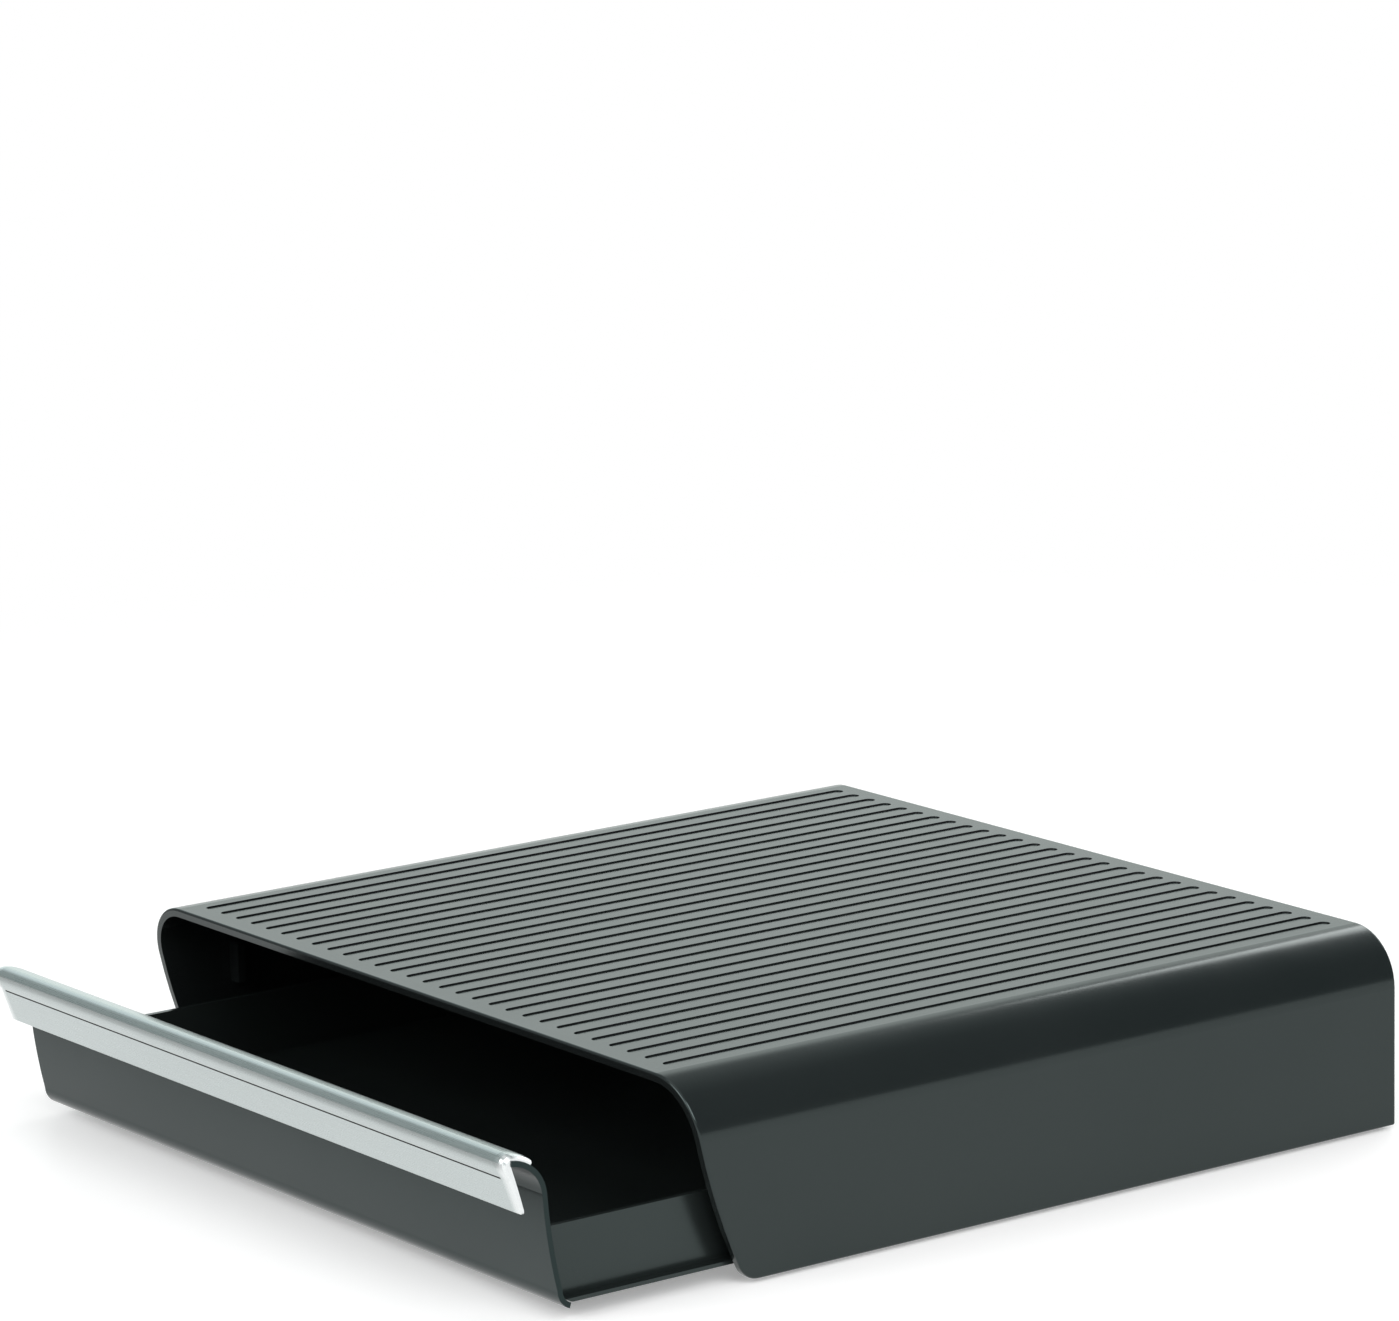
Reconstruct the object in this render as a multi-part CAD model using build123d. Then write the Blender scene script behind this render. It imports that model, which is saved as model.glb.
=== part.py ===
from build123d import *
import math
import os

# Drawer for single-serve coffee pods, under a platform that a coffee machine stands on.
# Millimetres, +Z up, front towards -Y, +X to the right as seen from the front.
# Origin: centre of the whole footprint at table level, with the drawer pulled out as modelled.
# Depths are distances in front of the cover's back face; heights are above the cover's lower edge.

# ---- driving dimensions -------------------------------------------------------------
FOOT_HEIGHT = 1.5            # the cover's lower edge above the table

COVER_WIDTH = 350.0
COVER_HEIGHT = 73.0
COVER_DEPTH_TOP = 320.5      # back face to the front edge of the top
COVER_DEPTH_BOTTOM = 299.0   # back face to the front edge at the bottom, before its corner is rounded
COVER_EDGE_BOW = 3.9         # how far the front edge bulges from a straight line
COVER_TOE_RADIUS = 8.5       # rounded lower front corner of each side
SHOULDER_RADIUS = 21.0
REAR_EDGE_RADIUS = 1.2
RIM_RADIUS = 0.8             # rounding of the outer edge round the front opening
WALL = 3.2

GROOVE_COUNT = 29
GROOVE_PITCH = 10.5
GROOVE_WIDTH = 5.0
GROOVE_DEPTH = 0.5
GROOVE_FRONT_DEPTH = 311.5
GROOVE_BACK_DEPTH = 8.0

DECK_RIB_THICKNESS = 2.4
DECK_RIB_HEIGHT = 6.0
DECK_RIB_PITCH = 52.5
DECK_RIB_SIDE_COUNT = 5
DECK_CROSS_RIB_DEPTHS = (80.0, 160.0, 240.0)
DECK_RIB_FRONT_DEPTH = 298.0

STOP_RIB_DEPTH = 285.5       # centre of the rib that ends the drawer's travel
STOP_RIB_THICKNESS = 3.0
STOP_RIB_REACH = 6.0
STOP_RIB_LOW = 36.0

RAIL_BACK_DEPTH = 6.0
RAIL_FRONT_DEPTH = 286.0
RAIL_WEB = 1.6
RAIL_REACH = 9.5
RAIL_LEDGE_TOP = 5.0
RAIL_LEDGE_THICKNESS = 2.2
RAIL_KEEPER_LOW = 7.2
RAIL_KEEPER_THICKNESS = 1.6
RAIL_KEEPER_REACH = 6.0
RAIL_SKIRT_LOW = 0.4
PEG_RADIUS = 2.0
PEG_LENGTH = 1.2
PEG_CLEARANCE = 0.1
PEG_HEIGHT = 4.4
PEG_DEPTHS = (30.0, 146.0, 262.0)

FOOT_PAD_LENGTH = 16.0
FOOT_PAD_REACH = 12.0
FOOT_PAD_TOP = 3.0
FOOT_RADIUS = 4.5
FOOT_RECESS = 1.0
FOOT_INSET = 6.2             # foot centre from the inner face of the side wall
FOOT_BEVEL = 0.4
FOOT_DEPTHS = (16.0, 274.0)

OPENING_AT_REST = 65.0       # how far the drawer stands out of the cover as modelled

FRONT_HALF_WIDTH = 168.5
FRONT_THICKNESS = 2.0
FRONT_CORNER_RADIUS = 3.0
FRONT_TIP = (368.1, 3.1)     # depth and height of points down the panel's front face
FRONT_KNEE = (371.5, 5.6)
FRONT_SHIN = (372.9, 9.5)
FRONT_WAIST = (376.2, 26.7)
LIP_CENTRE = (390.9, 43.4)   # depth and height of the axis that the lip and the handle curl round
LIP_INNER_RADIUS = 12.9
LIP_START_ANGLE = 174.0
LIP_BROW_ANGLE = 136.0
LIP_END_ANGLE = 94.0

TRAY_HALF_WIDTH = 164.2
TRAY_WALL = 2.2
TRAY_BOTTOM = 5.3
TRAY_SIDE_TOP = 31.6
TRAY_BACK_GAP = 0.3          # between the closed tray and the cover's back wall
TRAY_CORNER_RADIUS = 3.0
TRAY_FRONT_TOP = 374.85      # depth of the front wall's outer face at its top
TRAY_FRONT_WAIST = (373.0, 20.0)
TRAY_FRONT_KNEE = (370.8, 9.7)
TRAY_FRONT_HEEL = (369.6, 6.7)
TRAY_FRONT_TOE = 366.5
FLANGE_HALF_WIDTH = 169.0
FLANGE_THICKNESS = 1.4
STOP_TAB_LOW = 27.6
STOP_TAB_TOP = 50.0
STOP_TAB_INNER = 150.0
STOP_TAB_RADIUS = 6.0

HANDLE_HALF_WIDTH = 168.0
HANDLE_SKIN = 2.05
HANDLE_BACK_ANGLE = 126.0
HANDLE_CREST_ANGLE = 97.0
HANDLE_FRONT_DEPTH = 393.4   # front of the roll, the foremost point of the whole drawer
HANDLE_BROW = (392.4, 59.4)  # depth and height of points down the handle's front face
HANDLE_NOSE_HEIGHT = 57.6
HANDLE_CHIN = (392.7, 54.4)
HANDLE_LINE = (391.0, 51.5)
HANDLE_TIP = (386.5, 39.4)
HANDLE_TIP_BOTTOM = (385.9, 38.8)
HANDLE_TIP_BACK = 385.0
HANDLE_BAND_BACK = (387.4, 48.0)
HANDLE_CORNER_RADIUS = 3.0
HANDLE_END_LENGTH = 5.0      # stretch at each end where the outer face curves in
HANDLE_END_DROP = 1.2
HANDLE_END_STEPS = (0.0, 0.5, 0.8, 1.0)
FINE_LINE_WIDTH = 0.6
FINE_LINE_CUT = 0.5

# ---- worked out from them -----------------------------------------------------------
Y_BACK = HANDLE_FRONT_DEPTH / 2
INNER_HALF_WIDTH = COVER_WIDTH / 2 - WALL
INNER_TOP = COVER_HEIGHT - WALL
TRAY_BACK_DEPTH = WALL + TRAY_BACK_GAP + OPENING_AT_REST
SIDES = {"left": -1, "right": 1}


def at(depth, height):
    """Point of a side view (Y, Z) from a depth and a height."""
    return (Y_BACK - depth, height + FOOT_HEIGHT)


def around_lip(radius, degrees):
    """Point of a side view on a circle round the lip's axis; 180 degrees is straight behind it."""
    angle = math.radians(degrees)
    depth = LIP_CENTRE[0] + radius * math.cos(angle)
    return at(depth, LIP_CENTRE[1] + radius * math.sin(angle))


def side_extrusion(sketch, half_width):
    return extrude(sketch, half_width, both=True)


def block(x0, x1, depth0, depth1, low, high):
    """Box between two x values, two depths and two heights."""
    size = (abs(x1 - x0), abs(depth1 - depth0), high - low)
    centre = ((x0 + x1) / 2, Y_BACK - (depth0 + depth1) / 2, FOOT_HEIGHT + (low + high) / 2)
    return Pos(*centre) * Box(*size)


def arch_section(half_width, height, radius, low):
    """Front view of the cover: flat sides and top joined by round shoulders."""
    with BuildSketch(Plane.XZ) as sketch:
        with BuildLine():
            Polyline((-half_width + radius, height), (half_width - radius, height))
            RadiusArc((half_width - radius, height), (half_width, height - radius), radius)
            Polyline((half_width, height - radius), (half_width, low), (-half_width, low),
                     (-half_width, height - radius))
            RadiusArc((-half_width, height - radius), (-half_width + radius, height), radius)
        make_face()
    return sketch.sketch


def arch_block(half_width, height, radius, low, back_depth, front_depth):
    """The front view run from one depth to another."""
    section = arch_section(half_width, height + FOOT_HEIGHT, radius, low + FOOT_HEIGHT)
    section = Pos(0, Y_BACK - back_depth, 0) * section
    return extrude(section, front_depth - back_depth)


def cover_side_view():
    """Side view of the cover, with its bowed, raked front edge and rounded toe."""
    top = at(COVER_DEPTH_TOP, COVER_HEIGHT)
    bottom = at(COVER_DEPTH_BOTTOM, 0)
    run = math.dist(top, bottom)
    bow_y = (bottom[1] - top[1]) / run * COVER_EDGE_BOW
    bow_z = (top[0] - bottom[0]) / run * COVER_EDGE_BOW
    middle = ((top[0] + bottom[0]) / 2 + bow_y, (top[1] + bottom[1]) / 2 - bow_z)
    with BuildSketch(Plane.YZ) as sketch:
        with BuildLine():
            Polyline(bottom, at(0, 0), at(0, COVER_HEIGHT), top)
            ThreePointArc(top, middle, bottom)
        make_face()
        toe = sketch.vertices().sort_by_distance((0, *bottom))[0]
        fillet(toe, COVER_TOE_RADIUS)
    return sketch.sketch


def deck_ribs():
    """Grid of stiffening ribs under the top."""
    ribs = []
    half = DECK_RIB_THICKNESS / 2
    low = INNER_TOP - DECK_RIB_HEIGHT
    for i in range(DECK_RIB_SIDE_COUNT):
        x = (i - (DECK_RIB_SIDE_COUNT - 1) / 2) * DECK_RIB_PITCH
        ribs.append(block(x - half, x + half, WALL / 2, DECK_RIB_FRONT_DEPTH, low, INNER_TOP + 1))
    reach = INNER_HALF_WIDTH - SHOULDER_RADIUS / 2
    for depth in DECK_CROSS_RIB_DEPTHS:
        ribs.append(block(-reach, reach, depth - half, depth + half, low, INNER_TOP + 1))
    return ribs


def stop_ribs():
    """Upright rib inside each side wall that catches the tray's rear tab."""
    ribs = []
    half = STOP_RIB_THICKNESS / 2
    for side in SIDES.values():
        ribs.append(block(side * (INNER_HALF_WIDTH - STOP_RIB_REACH), side * (INNER_HALF_WIDTH + 1),
                          STOP_RIB_DEPTH - half, STOP_RIB_DEPTH + half, STOP_RIB_LOW,
                          COVER_HEIGHT - SHOULDER_RADIUS))
    return ribs


def pegs(side, radius, length):
    """Row of short pegs pointing outwards from the inner face of a side wall."""
    row = []
    for depth in PEG_DEPTHS:
        x = side * (INNER_HALF_WIDTH - 0.5 + (length + 0.5) / 2)
        place = Pos(x, Y_BACK - depth, FOOT_HEIGHT + PEG_HEIGHT) * Rot(0, 90, 0)
        row.append(place * Cylinder(radius, length + 0.5))
    return row


def make_cover():
    """One moulding: top, round shoulders, sides and back wall, open at the front and below."""
    outline = side_extrusion(cover_side_view(), COVER_WIDTH)
    body = arch_block(COVER_WIDTH / 2, COVER_HEIGHT, SHOULDER_RADIUS, 0, 0, COVER_DEPTH_TOP + 5)
    body = body & outline
    rear_edges = body.faces().sort_by(Axis.Y)[-1].edges()
    body = fillet(rear_edges.filter_by(Axis.Z) + rear_edges.filter_by(GeomType.CIRCLE), REAR_EDGE_RADIUS)
    front_faces = body.faces().sort_by(Axis.Y)[:2]
    rim = front_faces.edges().filter_by(GeomType.LINE, reverse=True)
    body = fillet(rim + body.edges().filter_by(Axis.X).sort_by(Axis.Y)[:1], RIM_RADIUS)
    body -= arch_block(INNER_HALF_WIDTH, INNER_TOP, SHOULDER_RADIUS - WALL, -5, WALL,
                       COVER_DEPTH_TOP + 10)
    for rib in deck_ribs() + stop_ribs():
        body += rib
    for side in SIDES.values():
        for socket in pegs(side, PEG_RADIUS + PEG_CLEARANCE, PEG_LENGTH + PEG_CLEARANCE):
            body -= socket
    length = GROOVE_FRONT_DEPTH - GROOVE_BACK_DEPTH
    centre_y = Y_BACK - (GROOVE_FRONT_DEPTH + GROOVE_BACK_DEPTH) / 2
    top = FOOT_HEIGHT + COVER_HEIGHT
    with BuildSketch(Plane((0, centre_y, top))) as grooves:
        with GridLocations(GROOVE_PITCH, 1, GROOVE_COUNT, 1):
            SlotOverall(length, GROOVE_WIDTH, rotation=90)
    body -= extrude(grooves.sketch, -GROOVE_DEPTH)
    return body


def make_rail(side):
    """Channel that carries one flange of the tray: ledge, keeper, web, pads for the feet."""
    wall = side * INNER_HALF_WIDTH
    span = (RAIL_BACK_DEPTH, RAIL_FRONT_DEPTH)
    rail = block(wall, wall - side * RAIL_WEB, *span, RAIL_SKIRT_LOW,
                 RAIL_KEEPER_LOW + RAIL_KEEPER_THICKNESS)
    rail += block(wall, wall - side * RAIL_REACH, *span,
                  RAIL_LEDGE_TOP - RAIL_LEDGE_THICKNESS, RAIL_LEDGE_TOP)
    rail += block(wall, wall - side * RAIL_KEEPER_REACH, *span, RAIL_KEEPER_LOW,
                  RAIL_KEEPER_LOW + RAIL_KEEPER_THICKNESS)
    half = FOOT_PAD_LENGTH / 2
    for depth in FOOT_DEPTHS:
        rail += block(wall, wall - side * FOOT_PAD_REACH, max(depth - half, RAIL_BACK_DEPTH),
                      min(depth + half, RAIL_FRONT_DEPTH), 0, FOOT_PAD_TOP)
        seat = Pos(wall - side * FOOT_INSET, Y_BACK - depth, FOOT_HEIGHT + FOOT_RECESS / 2)
        rail -= seat * Cylinder(FOOT_RADIUS, FOOT_RECESS)
    for peg in pegs(side, PEG_RADIUS, PEG_LENGTH):
        rail += peg
    return rail


def make_foot(side, depth):
    """Round rubber pad pressed into a rail from below."""
    height = FOOT_HEIGHT + FOOT_RECESS
    place = Pos(side * (INNER_HALF_WIDTH - FOOT_INSET), Y_BACK - depth, height / 2)
    foot = Cylinder(FOOT_RADIUS, height)
    foot = chamfer(foot.faces().sort_by(Axis.Z)[0].edges(), FOOT_BEVEL)
    return place * foot


def tray_side_view(inset):
    """Side view of the tray; the inset gives the space inside its walls."""
    floor = TRAY_BOTTOM + inset
    top = TRAY_SIDE_TOP + (1 if inset else 0)
    back = TRAY_BACK_DEPTH + inset
    crown = at(TRAY_FRONT_TOP - inset, TRAY_SIDE_TOP)
    waist = at(TRAY_FRONT_WAIST[0] - inset, TRAY_FRONT_WAIST[1])
    knee = at(TRAY_FRONT_KNEE[0] - inset, TRAY_FRONT_KNEE[1] + inset / 2)
    heel = at(TRAY_FRONT_HEEL[0] - inset, TRAY_FRONT_HEEL[1] + inset)
    toe = at(TRAY_FRONT_TOE - inset, floor)
    with BuildSketch(Plane.YZ) as sketch:
        with BuildLine():
            Polyline(toe, at(back, floor), at(back, top), (crown[0], at(0, top)[1]))
            if inset:
                Line((crown[0], at(0, top)[1]), crown)
            ThreePointArc(crown, waist, knee)
            ThreePointArc(knee, heel, toe)
        make_face()
    return sketch.sketch


def make_tray():
    """Open tray: floor, low sides, raked front wall, side flanges and two rear stop tabs."""
    body = side_extrusion(tray_side_view(0), TRAY_HALF_WIDTH)
    body = fillet(body.edges().filter_by(Axis.Z).sort_by(Axis.Y)[-2:], TRAY_CORNER_RADIUS)
    flange_back = TRAY_BACK_DEPTH + TRAY_CORNER_RADIUS
    flanges = side_extrusion(tray_side_view(0), FLANGE_HALF_WIDTH)
    flanges &= block(-FLANGE_HALF_WIDTH, FLANGE_HALF_WIDTH, flange_back, TRAY_FRONT_TOP, TRAY_BOTTOM,
                     TRAY_BOTTOM + FLANGE_THICKNESS)
    body += flanges
    for side in SIDES.values():
        tab = block(side * FLANGE_HALF_WIDTH, side * STOP_TAB_INNER, TRAY_BACK_DEPTH,
                    TRAY_BACK_DEPTH + TRAY_WALL, STOP_TAB_LOW, STOP_TAB_TOP)
        corners = tab.edges().filter_by(Axis.Y).group_by(Axis.Z)[-1]
        body += fillet(corners, STOP_TAB_RADIUS)
    cavity = side_extrusion(tray_side_view(TRAY_WALL), TRAY_HALF_WIDTH - TRAY_WALL)
    return body - cavity


def rounded_front(half_width, low, high, radius):
    """Block as deep as the drawer's front parts, with rounded corners in front view."""
    section = RectangleRounded(2 * half_width, high - low, radius)
    back = FRONT_TIP[0] - FRONT_THICKNESS
    place = Pos(0, Y_BACK - back + 5, FOOT_HEIGHT + (low + high) / 2) * Rot(90, 0, 0)
    return place * extrude(section, HANDLE_FRONT_DEPTH - back + 10)


def front_outline():
    """Front surface of the drawer's front panel in side view, from its curled foot to its lip."""
    shin = at(*FRONT_SHIN)
    neck = around_lip(LIP_INNER_RADIUS, LIP_START_ANGLE)
    brow = around_lip(LIP_INNER_RADIUS, LIP_BROW_ANGLE)
    end = around_lip(LIP_INNER_RADIUS, LIP_END_ANGLE)
    foot = ThreePointArc(at(*FRONT_TIP), at(*FRONT_KNEE), shin)
    face = ThreePointArc(shin, at(*FRONT_WAIST), neck)
    lip = ThreePointArc(neck, brow, end)
    return Wire([foot.edge(), face.edge(), lip.edge()])


def make_drawer_front():
    """Thin raked panel: its foot curls back and its top curls forward into a lip."""
    with BuildSketch(Plane.YZ) as sketch:
        with BuildLine():
            add(front_outline())
            offset(amount=FRONT_THICKNESS, side=Side.RIGHT)
        make_face()
    panel = side_extrusion(sketch.sketch, FRONT_HALF_WIDTH + 5)
    return panel & rounded_front(FRONT_HALF_WIDTH, 0, COVER_HEIGHT, FRONT_CORNER_RADIUS)


def handle_section(drop):
    """Side view of the handle: a skin over the lip, a roll and a band below it.

    The drop moves the outer face inwards.
    """
    lip = LIP_INNER_RADIUS + FRONT_THICKNESS
    skin = lip + HANDLE_SKIN - drop
    back_outer = around_lip(skin, HANDLE_BACK_ANGLE)
    back_inner = around_lip(lip, HANDLE_BACK_ANGLE)
    middle_angle = (HANDLE_BACK_ANGLE + HANDLE_CREST_ANGLE) / 2
    crest = around_lip(skin, HANDLE_CREST_ANGLE)
    brow = at(HANDLE_BROW[0] - drop, HANDLE_BROW[1] - drop)
    nose = at(HANDLE_FRONT_DEPTH - drop, HANDLE_NOSE_HEIGHT - drop / 2)
    chin = at(HANDLE_CHIN[0] - drop, HANDLE_CHIN[1])
    line = at(HANDLE_LINE[0] - drop, HANDLE_LINE[1])
    tip = at(HANDLE_TIP[0] - drop / 2, HANDLE_TIP[1])
    tip_bottom = at(HANDLE_TIP_BOTTOM[0] - drop / 4, HANDLE_TIP_BOTTOM[1])
    tip_back = at(HANDLE_TIP_BACK, HANDLE_TIP[1])
    lip_end_inner = around_lip(LIP_INNER_RADIUS, LIP_END_ANGLE)
    lip_end_outer = around_lip(lip, LIP_END_ANGLE)
    with BuildSketch(Plane.YZ) as sketch:
        with BuildLine():
            ThreePointArc(back_outer, around_lip(skin, middle_angle), crest)
            ThreePointArc(crest, brow, nose)
            ThreePointArc(nose, chin, line)
            Line(line, tip)
            ThreePointArc(tip, tip_bottom, tip_back)
            ThreePointArc(tip_back, at(*HANDLE_BAND_BACK), lip_end_inner)
            Line(lip_end_inner, lip_end_outer)
            ThreePointArc(lip_end_outer, around_lip(lip, middle_angle), back_inner)
            Line(back_inner, back_outer)
        make_face()
    return sketch.sketch


def handle_end(side):
    """One end of the handle, whose outer face curves in towards the end."""
    sections = []
    for step in HANDLE_END_STEPS:
        x = HANDLE_HALF_WIDTH - HANDLE_END_LENGTH * (1 - step)
        drop = HANDLE_END_DROP * (1 - math.sqrt(1 - step * step))
        sections.append(Pos(side * x, 0, 0) * handle_section(drop))
    return loft(sections, ruled=True)


def make_handle():
    """Full-width pull hooked over the lip, with a fine line between its roll and its band."""
    straight = HANDLE_HALF_WIDTH - HANDLE_END_LENGTH
    body = side_extrusion(handle_section(0), straight)
    for side in SIDES.values():
        body += handle_end(side)
    body &= rounded_front(HANDLE_HALF_WIDTH, HANDLE_TIP_BOTTOM[1] - 1, COVER_HEIGHT,
                          HANDLE_CORNER_RADIUS)
    depth, height = HANDLE_LINE
    return body - block(-straight, straight, depth - FINE_LINE_CUT, HANDLE_FRONT_DEPTH,
                        height - FINE_LINE_WIDTH / 2, height + FINE_LINE_WIDTH / 2)


def make_nodes():
    """Every sub-part by name."""
    nodes = {"cover": make_cover(), "tray": make_tray(), "drawer_front": make_drawer_front(),
             "handle": make_handle()}
    for name, side in SIDES.items():
        nodes[f"{name}_rail"] = make_rail(side)
        for place, depth in zip(("rear", "front"), FOOT_DEPTHS):
            nodes[f"{place}_{name}_foot"] = make_foot(side, depth)
    return nodes


os.makedirs("parts", exist_ok=True)
for node_name, shape in make_nodes().items():
    shape.label = node_name
    export_step(shape, f"parts/{node_name}.step")
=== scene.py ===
import math

import bpy
from mathutils import Matrix, Vector

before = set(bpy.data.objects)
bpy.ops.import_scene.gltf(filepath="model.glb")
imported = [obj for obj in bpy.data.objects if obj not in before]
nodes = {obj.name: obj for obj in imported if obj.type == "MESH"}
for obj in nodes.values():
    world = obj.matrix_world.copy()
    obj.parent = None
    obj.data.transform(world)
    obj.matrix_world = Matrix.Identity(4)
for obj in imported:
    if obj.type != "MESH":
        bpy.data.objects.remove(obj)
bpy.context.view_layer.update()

# Lengths are in metres, noise scales in waves a metre. A span gives the value where something
# starts and the value where it is full, which may be the lower one.
MM = 0.001
WHITE = (1.0, 1.0, 1.0)
NOISE_LOW = 0.3                      # most of a noise lies between these
NOISE_HIGH = 0.7

# Camera, solved from the photograph's edges. It looks at the target from this far away; azimuth 0
# looks along +Y, and positive azimuths move the camera to the right.
CAMERA_TARGET = Vector((-48.78, 46.7, 163.04)) * MM
CAMERA_DISTANCE = 2323.42 * MM
CAMERA_AZIMUTH = math.radians(53.88)
CAMERA_ELEVATION = math.radians(11.52)
CAMERA_ROLL = math.radians(-1.24)
CAMERA_LENS = 158.055                # focal length and sensor, in millimetres
SENSOR_WIDTH = 36.0
CAMERA_REACH = 100.0

# Plastics: darkest and lightest base colour, range of roughness, and where they aren't the usual
# ones, the level and tint of the gloss.
GLOSS_LEVEL = 0.5
GLOSS_TINT = (0.80, 1.0, 0.98, 1)
PLASTICS = {
    "shell_plastic": {"dark": (0.008, 0.010, 0.010), "light": (0.011, 0.013, 0.013),
                      "rough": (0.16, 0.21)},
    "tray_plastic": {"dark": (0.011, 0.014, 0.0135), "light": (0.014, 0.0175, 0.017),
                     "rough": (0.21, 0.26)},
    "front_plastic": {"dark": (0.004, 0.008, 0.008), "light": (0.007, 0.011, 0.011),
                      "rough": (0.20, 0.26), "gloss": 0.36, "tint": (0.70, 1.0, 0.98, 1)},
    "rail_plastic": {"dark": (0.010, 0.010, 0.010), "light": (0.014, 0.014, 0.014),
                     "rough": (0.40, 0.50)},
}

# The pull: brushed silver with a painted highlight where each end rolls in, a dark colour on the
# inner faces turned back towards the panel, and a painted groove shadow as a fine dark stripe
# between two heights that stops short of each end.
SILVER_DARK = (0.545, 0.60, 0.595)
SILVER_LIGHT = (0.585, 0.635, 0.63)
SILVER_ROUGHNESS = (0.24, 0.34)
HAIRLINE_STRETCH = (1.0, 60.0, 60.0)
# Painted groove shadow: a fine dark stripe between two heights, stopping short of each end of the
# pull; the end highlight starts where it stops.
GROOVE_SHADE = (0.12, 0.12, 0.115)
GROOVE_SHADE_LOW = 52.65 * MM
GROOVE_SHADE_HIGH = 53.35 * MM
GROOVE_SHADE_END = 163.2 * MM
# Painted highlight: the silver turns brighter over the last few millimetres at each end of the
# pull, where it rolls in.
SILVER_END_HIGHLIGHT = (0.84, 0.87, 0.87)
END_HIGHLIGHT_FADE = 3.0 * MM
# Dark colour for the inner faces, those turned back towards the panel rather than up.
SILVER_INSIDE = (0.05, 0.05, 0.048)
INSIDE_NORMALS = {"Y": (0.10, 0.30), "Z": (0.40, 0.20)}    # spans of the unit normal

RUBBER_DARK = (0.012, 0.012, 0.012)
RUBBER_LIGHT = (0.02, 0.02, 0.02)
RUBBER_ROUGHNESS = (0.75, 0.9)

# Finish of each CAD node, by the last word of its name.
FINISHES = {"cover": "shell_plastic", "tray": "tray_plastic", "front": "front_plastic",
            "handle": "handle_silver", "rail": "rail_plastic", "foot": "foot_rubber"}

# Floor: lit and shaded near the object, and white away from it.
FLOOR_HALF = 12.0
FLOOR_COLOUR = (0.82, 0.82, 0.82)
FLOOR_ROUGHNESS = 0.5
FLOOR_GLOW = 0.30                    # lifts the shaded floor where the camera or gloss sees it
FLOOR_FADE = (0.45, 1.1)             # distance over which it turns white
FLOOR_GLOSS_PALE = 0.6               # share of the floor's shadow that gloss doesn't see
DUSK = 0.36                          # gloss sees a dimmer floor to the front and left
DUSK_REGION = {"X": (0.14, 0.06), "Y": (-0.232, -0.262)}

# World: the even light on the object, and the room that gloss sees in its place. The walls turn
# from the left colour to the right one. Each part of the room lies over those before it. All spans
# are of the unit direction.
AMBIENT = 0.50
WALL_LEFT = (0.34, 0.38, 0.38)
WALL_RIGHT = (0.16, 0.19, 0.20)
WALL_TURN = (-0.35, 0.1)
FRONT_LIGHT = (1.1, 1.1, 1.08)
HAZE = (0.92, 1.02, 1.04)
WINDOW = (1.03, 1.12, 1.09)
ROOM = (
    (FRONT_LIGHT, {"X": (-0.40, -0.20), "Y": (-0.70, -0.85), "Z": (0.75, 0.6)}),
    (WHITE, {"Z": (0.84, 0.95)}),                                             # overhead
    (HAZE, {"X": (-0.64, -0.78), "Y": (-0.16, 0.12)}),                        # left
    (WINDOW, {"X": (-0.5, -0.7), "Y": (-0.20, 0.0), "Z": (0.30, 0.15)}),      # low on the left
    (WINDOW, {"X": (0.0, -0.45), "Y": (0.05, 0.45), "Z": (0.62, 0.36)}),      # back left
)

# Area lights, with their power in watts.
LAMPS = {
    "key": {"place": (0.1, -1.9, 1.2), "aim": (0, 0, 0.03), "width": 1.4, "height": 1.1,
            "power": 20.0},
    "side": {"place": (1.7, -0.5, 1.3), "aim": (0, 0, 0.03), "width": 1.4, "height": 1.4,
             "power": 27.0},
    "rear": {"place": (-0.4, 1.8, 1.2), "aim": (0, 0, 0.05), "width": 1.6, "height": 0.6,
             "power": 10.0},
}


# ---- node helpers -------------------------------------------------------------------
def new_material(name):
    """Node material with its tree and shader."""
    material = bpy.data.materials.new(name)
    material.use_nodes = True
    tree = material.node_tree
    return material, tree, tree.nodes["Principled BSDF"]


def object_position(tree, scale=(1, 1, 1)):
    """Object-space position, stretched by a factor for each axis."""
    where = tree.nodes.new("ShaderNodeTexCoord")
    mapping = tree.nodes.new("ShaderNodeMapping")
    mapping.inputs["Scale"].default_value = scale
    tree.links.new(where.outputs["Object"], mapping.inputs["Vector"])
    return mapping.outputs["Vector"]


def axes_of(tree, vector):
    """The vector's X, Y and Z, by name."""
    split = tree.nodes.new("ShaderNodeSeparateXYZ")
    tree.links.new(vector, split.inputs[0])
    return split.outputs


def calculate(tree, operation, *values):
    """Result of a Math node, from plain numbers and other nodes' outputs."""
    node = tree.nodes.new("ShaderNodeMath")
    node.operation = operation
    for socket, value in zip(node.inputs, values):
        if isinstance(value, float):
            socket.default_value = value
        else:
            tree.links.new(value, socket)
    return node.outputs[0]


def product(tree, first, *others):
    """All the factors multiplied together."""
    total = first
    for other in others:
        total = calculate(tree, "MULTIPLY", total, other)
    return total


def between(tree, value, low, high):
    """One inside a range of the value and nought outside it."""
    return calculate(tree, "COMPARE", value, (low + high) / 2, (high - low) / 2)


def remap(tree, value, low, high, source_low=NOISE_LOW, source_high=NOISE_HIGH):
    """Value carried from one range to another, by default from the range of a noise."""
    node = tree.nodes.new("ShaderNodeMapRange")
    node.inputs["From Min"].default_value = source_low
    node.inputs["From Max"].default_value = source_high
    node.inputs["To Min"].default_value = low
    node.inputs["To Max"].default_value = high
    tree.links.new(value, node.inputs["Value"])
    return node.outputs["Result"]


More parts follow.
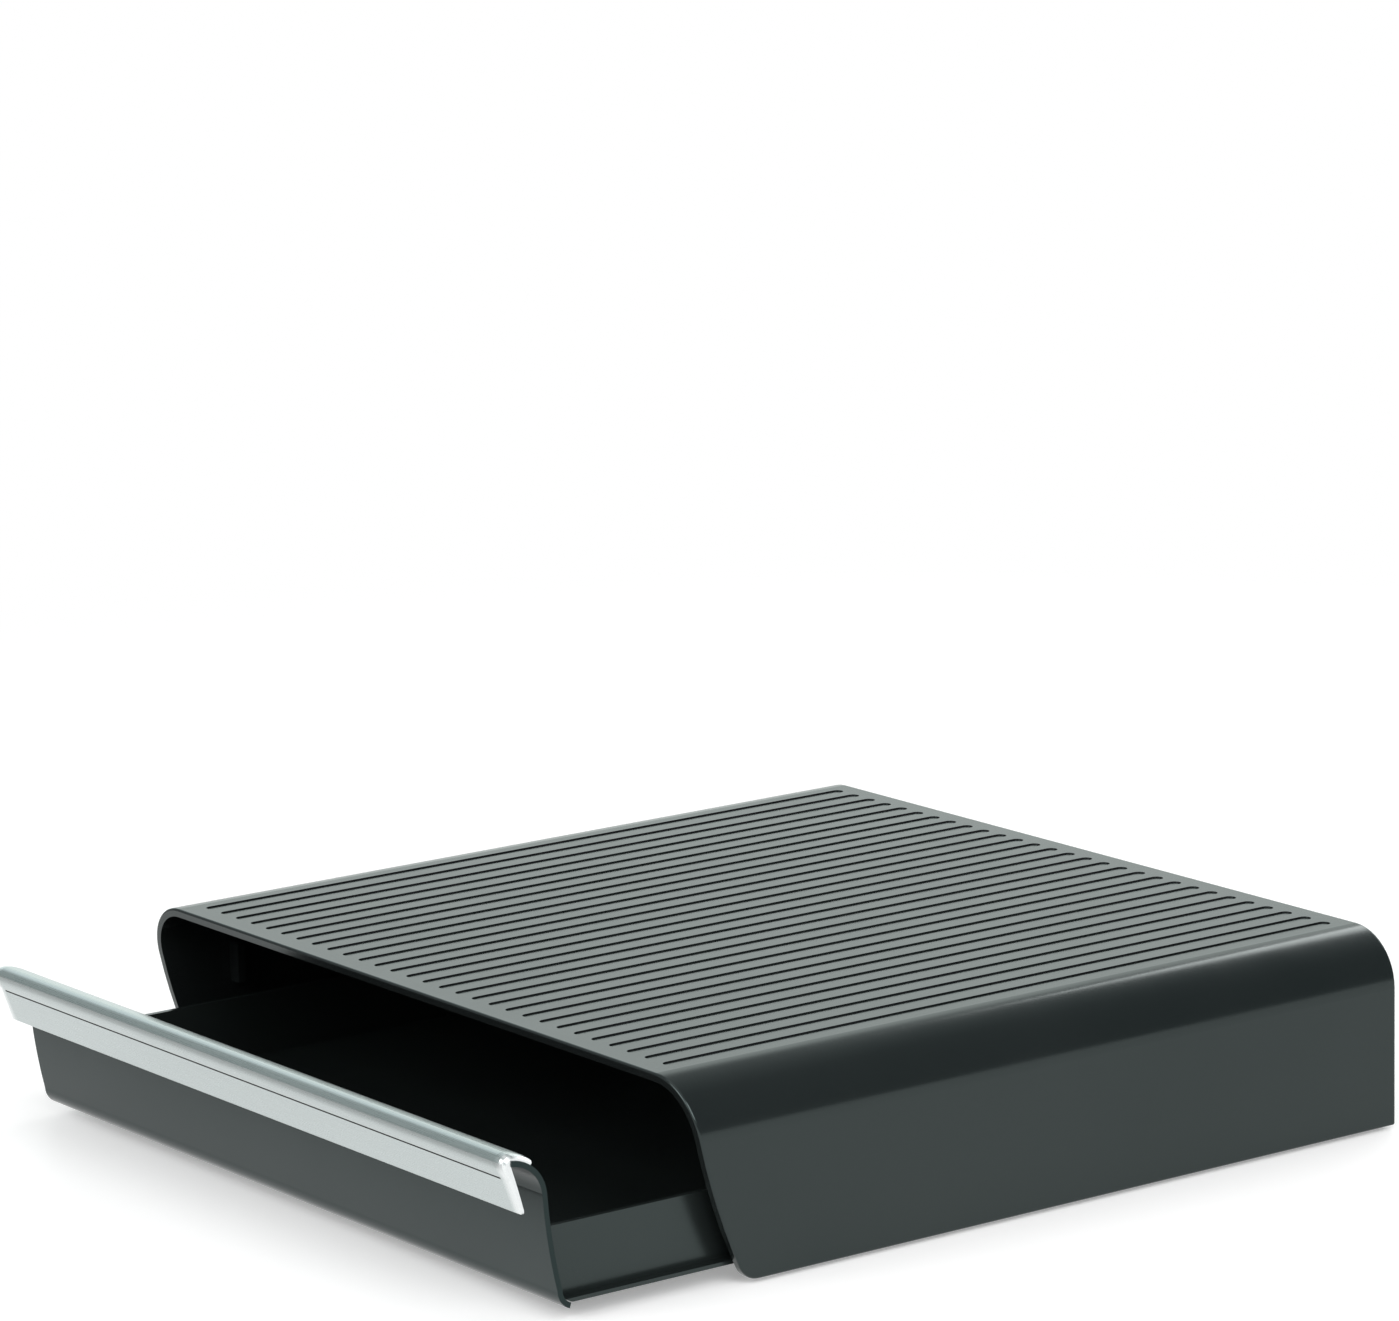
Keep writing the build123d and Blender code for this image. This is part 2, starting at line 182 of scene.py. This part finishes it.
def fade(tree, value, start, full):
    """Nought where the value is at the start of a span, and one where it is full."""
    return remap(tree, value, 0.0, 1.0, start, full)


def region(tree, vector, spans):
    """One where every named axis of the vector is full, fading to nought along each span."""
    axes = axes_of(tree, vector)
    return product(tree, *(fade(tree, axes[name], *span) for name, span in spans.items()))


def noise(tree, vector, scale, detail, roughness=0.5):
    """Noise of a scale; detail and roughness add finer waves to it."""
    texture = tree.nodes.new("ShaderNodeTexNoise")
    texture.inputs["Scale"].default_value = scale
    texture.inputs["Detail"].default_value = detail
    texture.inputs["Roughness"].default_value = roughness
    tree.links.new(vector, texture.inputs["Vector"])
    return texture.outputs["Fac"]


def bump(tree, height, strength, distance, normal=None):
    """Normal of a surface raised by the height, up to a distance."""
    node = tree.nodes.new("ShaderNodeBump")
    node.inputs["Strength"].default_value = strength
    node.inputs["Distance"].default_value = distance
    tree.links.new(height, node.inputs["Height"])
    if normal is not None:
        tree.links.new(normal, node.inputs["Normal"])
    return node.outputs["Normal"]


def mix_colours(tree, factor, under, over):
    """Blend of two colours by a factor; the first may be another node's output."""
    node = tree.nodes.new("ShaderNodeMix")
    node.data_type = "RGBA"
    if isinstance(under, tuple):
        node.inputs["A"].default_value = (*under, 1)
    else:
        tree.links.new(under, node.inputs["A"])
    node.inputs["B"].default_value = (*over, 1)
    tree.links.new(factor, node.inputs["Factor"])
    return node.outputs["Result"]


def mix_shaders(tree, factor, under, over):
    """Blend of two shaders by a factor."""
    node = tree.nodes.new("ShaderNodeMixShader")
    tree.links.new(factor, node.inputs["Fac"])
    tree.links.new(under, node.inputs[1])
    tree.links.new(over, node.inputs[2])
    return node.outputs[0]


def light_path(tree, first, *others):
    """One for a ray of any of the named kinds, and nought for others."""
    paths = tree.nodes.new("ShaderNodeLightPath")
    total = paths.outputs[first]
    for other in others:
        total = calculate(tree, "MAXIMUM", total, paths.outputs[other])
    return total


def emission(tree, strength):
    """White emission; a strength of 1 is white."""
    node = tree.nodes.new("ShaderNodeEmission")
    node.inputs["Strength"].default_value = strength
    return node.outputs[0]


def background(tree, strength, colour=None):
    """World light, white or of another node's colour."""
    node = tree.nodes.new("ShaderNodeBackground")
    node.inputs["Strength"].default_value = strength
    if colour is None:
        node.inputs["Color"].default_value = (*WHITE, 1)
    else:
        tree.links.new(colour, node.inputs["Color"])
    return node.outputs[0]


# ---- materials ----------------------------------------------------------------------
def moulded_plastic(name, dark, light, rough, gloss=GLOSS_LEVEL, tint=GLOSS_TINT):
    """Satin black moulding: fine spark-eroded grain, soft waviness, slight colour drift."""
    material, tree, shader = new_material(name)
    place = object_position(tree)
    drift = noise(tree, place, scale=9.0, detail=3.0)
    colour = mix_colours(tree, remap(tree, drift, 0.0, 1.0), dark, light)
    tree.links.new(colour, shader.inputs["Base Color"])
    patches = noise(tree, place, scale=22.0, detail=4.0, roughness=0.6)
    tree.links.new(remap(tree, patches, *rough), shader.inputs["Roughness"])
    waves = noise(tree, place, scale=12.0, detail=1.0)
    wavy = bump(tree, waves, strength=0.25, distance=0.5 * MM)
    grain = noise(tree, place, scale=1800.0, detail=2.0)
    grained = bump(tree, grain, strength=0.06, distance=0.06 * MM, normal=wavy)
    tree.links.new(grained, shader.inputs["Normal"])
    shader.inputs["Specular IOR Level"].default_value = gloss
    shader.inputs["Specular Tint"].default_value = tint
    return material


def satin_silver(name):
    """Satin silver with hairlines along the handle, faint cloudiness and a fine dark stripe of
    painted groove shadow.
    """
    material, tree, shader = new_material(name)
    place = object_position(tree)
    axes = axes_of(tree, place)
    lengthwise = object_position(tree, HAIRLINE_STRETCH)
    hair = noise(tree, lengthwise, scale=60.0, detail=3.0, roughness=0.7)
    tone = mix_colours(tree, remap(tree, hair, 0.0, 1.0), SILVER_DARK, SILVER_LIGHT)

    # Painted groove shadow: a fine dark stripe between two heights, short of each end of the pull.
    groove_shade_mask = product(tree, between(tree, axes["Z"], GROOVE_SHADE_LOW, GROOVE_SHADE_HIGH),
                   between(tree, axes["X"], -GROOVE_SHADE_END, GROOVE_SHADE_END))
    tone = mix_colours(tree, groove_shade_mask, tone, GROOVE_SHADE)
    # Painted highlight: brighter silver fading in towards each end of the pull.
    off_centre = calculate(tree, "ABSOLUTE", axes["X"])
    end_highlight = fade(tree, off_centre, GROOVE_SHADE_END, GROOVE_SHADE_END + END_HIGHLIGHT_FADE)
    tone = mix_colours(tree, end_highlight, tone, SILVER_END_HIGHLIGHT)
    # Dark colour on the inner faces, those turned back towards the panel rather than up.
    shape = tree.nodes.new("ShaderNodeNewGeometry")
    inside = region(tree, shape.outputs["True Normal"], INSIDE_NORMALS)
    tone = mix_colours(tree, inside, tone, SILVER_INSIDE)
    tree.links.new(tone, shader.inputs["Base Color"])

    tree.links.new(remap(tree, hair, *SILVER_ROUGHNESS), shader.inputs["Roughness"])
    cloud = noise(tree, place, scale=30.0, detail=2.0)
    cloudy = bump(tree, cloud, strength=0.12, distance=0.3 * MM)
    brushed = bump(tree, hair, strength=0.08, distance=0.04 * MM, normal=cloudy)
    tree.links.new(brushed, shader.inputs["Normal"])
    shader.inputs["Metallic"].default_value = 1.0
    return material


def rubber(name):
    """Dull black rubber with fine specks."""
    material, tree, shader = new_material(name)
    speck = noise(tree, object_position(tree), scale=900.0, detail=3.0)
    colour = mix_colours(tree, remap(tree, speck, 0.0, 1.0), RUBBER_DARK, RUBBER_LIGHT)
    tree.links.new(colour, shader.inputs["Base Color"])
    tree.links.new(remap(tree, speck, *RUBBER_ROUGHNESS), shader.inputs["Roughness"])
    speckled = bump(tree, speck, strength=0.3, distance=0.1 * MM)
    tree.links.new(speckled, shader.inputs["Normal"])
    return material


def dress(node_name, material):
    """Gives a carried-over CAD part its finish."""
    mesh = nodes[node_name].data
    mesh.materials.clear()
    mesh.materials.append(material)


# ---- floor, world and lights --------------------------------------------------------
def make_floor():
    """Plain pale floor that keeps the object's shadow and fades to white away from it."""
    mesh = bpy.data.meshes.new("floor")
    corners = [(-FLOOR_HALF, -FLOOR_HALF, 0), (FLOOR_HALF, -FLOOR_HALF, 0),
               (FLOOR_HALF, FLOOR_HALF, 0), (-FLOOR_HALF, FLOOR_HALF, 0)]
    mesh.from_pydata(corners, [], [(0, 1, 2, 3)])
    floor = bpy.data.objects.new("floor", mesh)
    bpy.context.scene.collection.objects.link(floor)

    material, tree, shader = new_material("floor_pale")
    shader.inputs["Base Color"].default_value = (*FLOOR_COLOUR, 1)
    shader.inputs["Roughness"].default_value = FLOOR_ROUGHNESS
    seen = light_path(tree, "Is Camera Ray", "Is Glossy Ray")
    gloss = light_path(tree, "Is Glossy Ray")
    place = object_position(tree)

    lit = tree.nodes.new("ShaderNodeAddShader")
    glow = mix_shaders(tree, seen, emission(tree, 0.0), emission(tree, FLOOR_GLOW))
    tree.links.new(shader.outputs[0], lit.inputs[0])
    tree.links.new(glow, lit.inputs[1])
    pale = calculate(tree, "MULTIPLY", gloss, FLOOR_GLOSS_PALE)
    near = mix_shaders(tree, pale, lit.outputs[0], emission(tree, 1.0))

    white = mix_shaders(tree, seen, shader.outputs[0], emission(tree, 1.0))
    distance = tree.nodes.new("ShaderNodeVectorMath")
    distance.operation = "LENGTH"
    tree.links.new(place, distance.inputs[0])
    far = fade(tree, distance.outputs["Value"], *FLOOR_FADE)
    surface = mix_shaders(tree, far, near, white)

    dusk = product(tree, gloss, region(tree, place, DUSK_REGION))
    surface = mix_shaders(tree, dusk, surface, emission(tree, DUSK))
    tree.links.new(surface, tree.nodes["Material Output"].inputs["Surface"])
    mesh.materials.append(material)


def make_world():
    """White to the camera, even light to the object, and to gloss a dim room with a window."""
    world = bpy.data.worlds.new("studio")
    bpy.context.scene.world = world
    world.cycles.sampling_method = "NONE"    # else gloss also picks up the even light
    world.use_nodes = True
    tree = world.node_tree
    tree.nodes.clear()
    where = tree.nodes.new("ShaderNodeTexCoord")
    direction = where.outputs["Generated"]
    turn = fade(tree, axes_of(tree, direction)["X"], *WALL_TURN)
    room = mix_colours(tree, turn, WALL_LEFT, WALL_RIGHT)
    for colour, spans in ROOM:
        room = mix_colours(tree, region(tree, direction, spans), room, colour)
    gloss = light_path(tree, "Is Glossy Ray")
    light = mix_shaders(tree, gloss, background(tree, AMBIENT), background(tree, 1.0, room))
    clear = light_path(tree, "Is Camera Ray", "Is Transmission Ray")
    surface = mix_shaders(tree, clear, light, background(tree, 1.0))
    output = tree.nodes.new("ShaderNodeOutputWorld")
    tree.links.new(surface, output.inputs["Surface"])


def area_light(name, place, aim, width, height, power):
    """Rectangular lamp at a place, turned to what it aims at."""
    data = bpy.data.lights.new(name, "AREA")
    data.shape = "RECTANGLE"
    data.size = width
    data.size_y = height
    data.energy = power
    lamp = bpy.data.objects.new(name, data)
    lamp.location = place
    direction = Vector(aim) - Vector(place)
    lamp.rotation_euler = direction.to_track_quat("-Z", "Y").to_euler()
    bpy.context.scene.collection.objects.link(lamp)


def make_camera():
    """Camera at the photograph's viewing angle."""
    azimuth, elevation, roll = CAMERA_AZIMUTH, CAMERA_ELEVATION, CAMERA_ROLL
    back = Vector((math.sin(azimuth) * math.cos(elevation),
                   -math.cos(azimuth) * math.cos(elevation), math.sin(elevation)))
    right = Vector((math.cos(azimuth), math.sin(azimuth), 0))
    up = back.cross(right)
    rolled_right = math.cos(roll) * right + math.sin(roll) * up
    rolled_up = -math.sin(roll) * right + math.cos(roll) * up
    data = bpy.data.cameras.new("camera")
    data.lens = CAMERA_LENS
    data.sensor_width = SENSOR_WIDTH
    data.sensor_fit = "HORIZONTAL"
    data.clip_end = CAMERA_REACH
    camera = bpy.data.objects.new("camera", data)
    turn = Matrix((rolled_right, rolled_up, back)).transposed()
    place = CAMERA_TARGET + back * CAMERA_DISTANCE
    camera.matrix_world = Matrix.Translation(place) @ turn.to_4x4()
    bpy.context.scene.collection.objects.link(camera)
    bpy.context.scene.camera = camera


materials = {name: moulded_plastic(name, **recipe) for name, recipe in PLASTICS.items()}
materials["handle_silver"] = satin_silver("handle_silver")
materials["foot_rubber"] = rubber("foot_rubber")
for node_name in nodes:
    last_word = node_name.split("_")[-1]
    dress(node_name, materials[FINISHES[last_word]])

make_floor()
make_world()
for lamp_name, settings in LAMPS.items():
    area_light(lamp_name, **settings)
make_camera()

bpy.context.scene.view_settings.view_transform = "Standard"
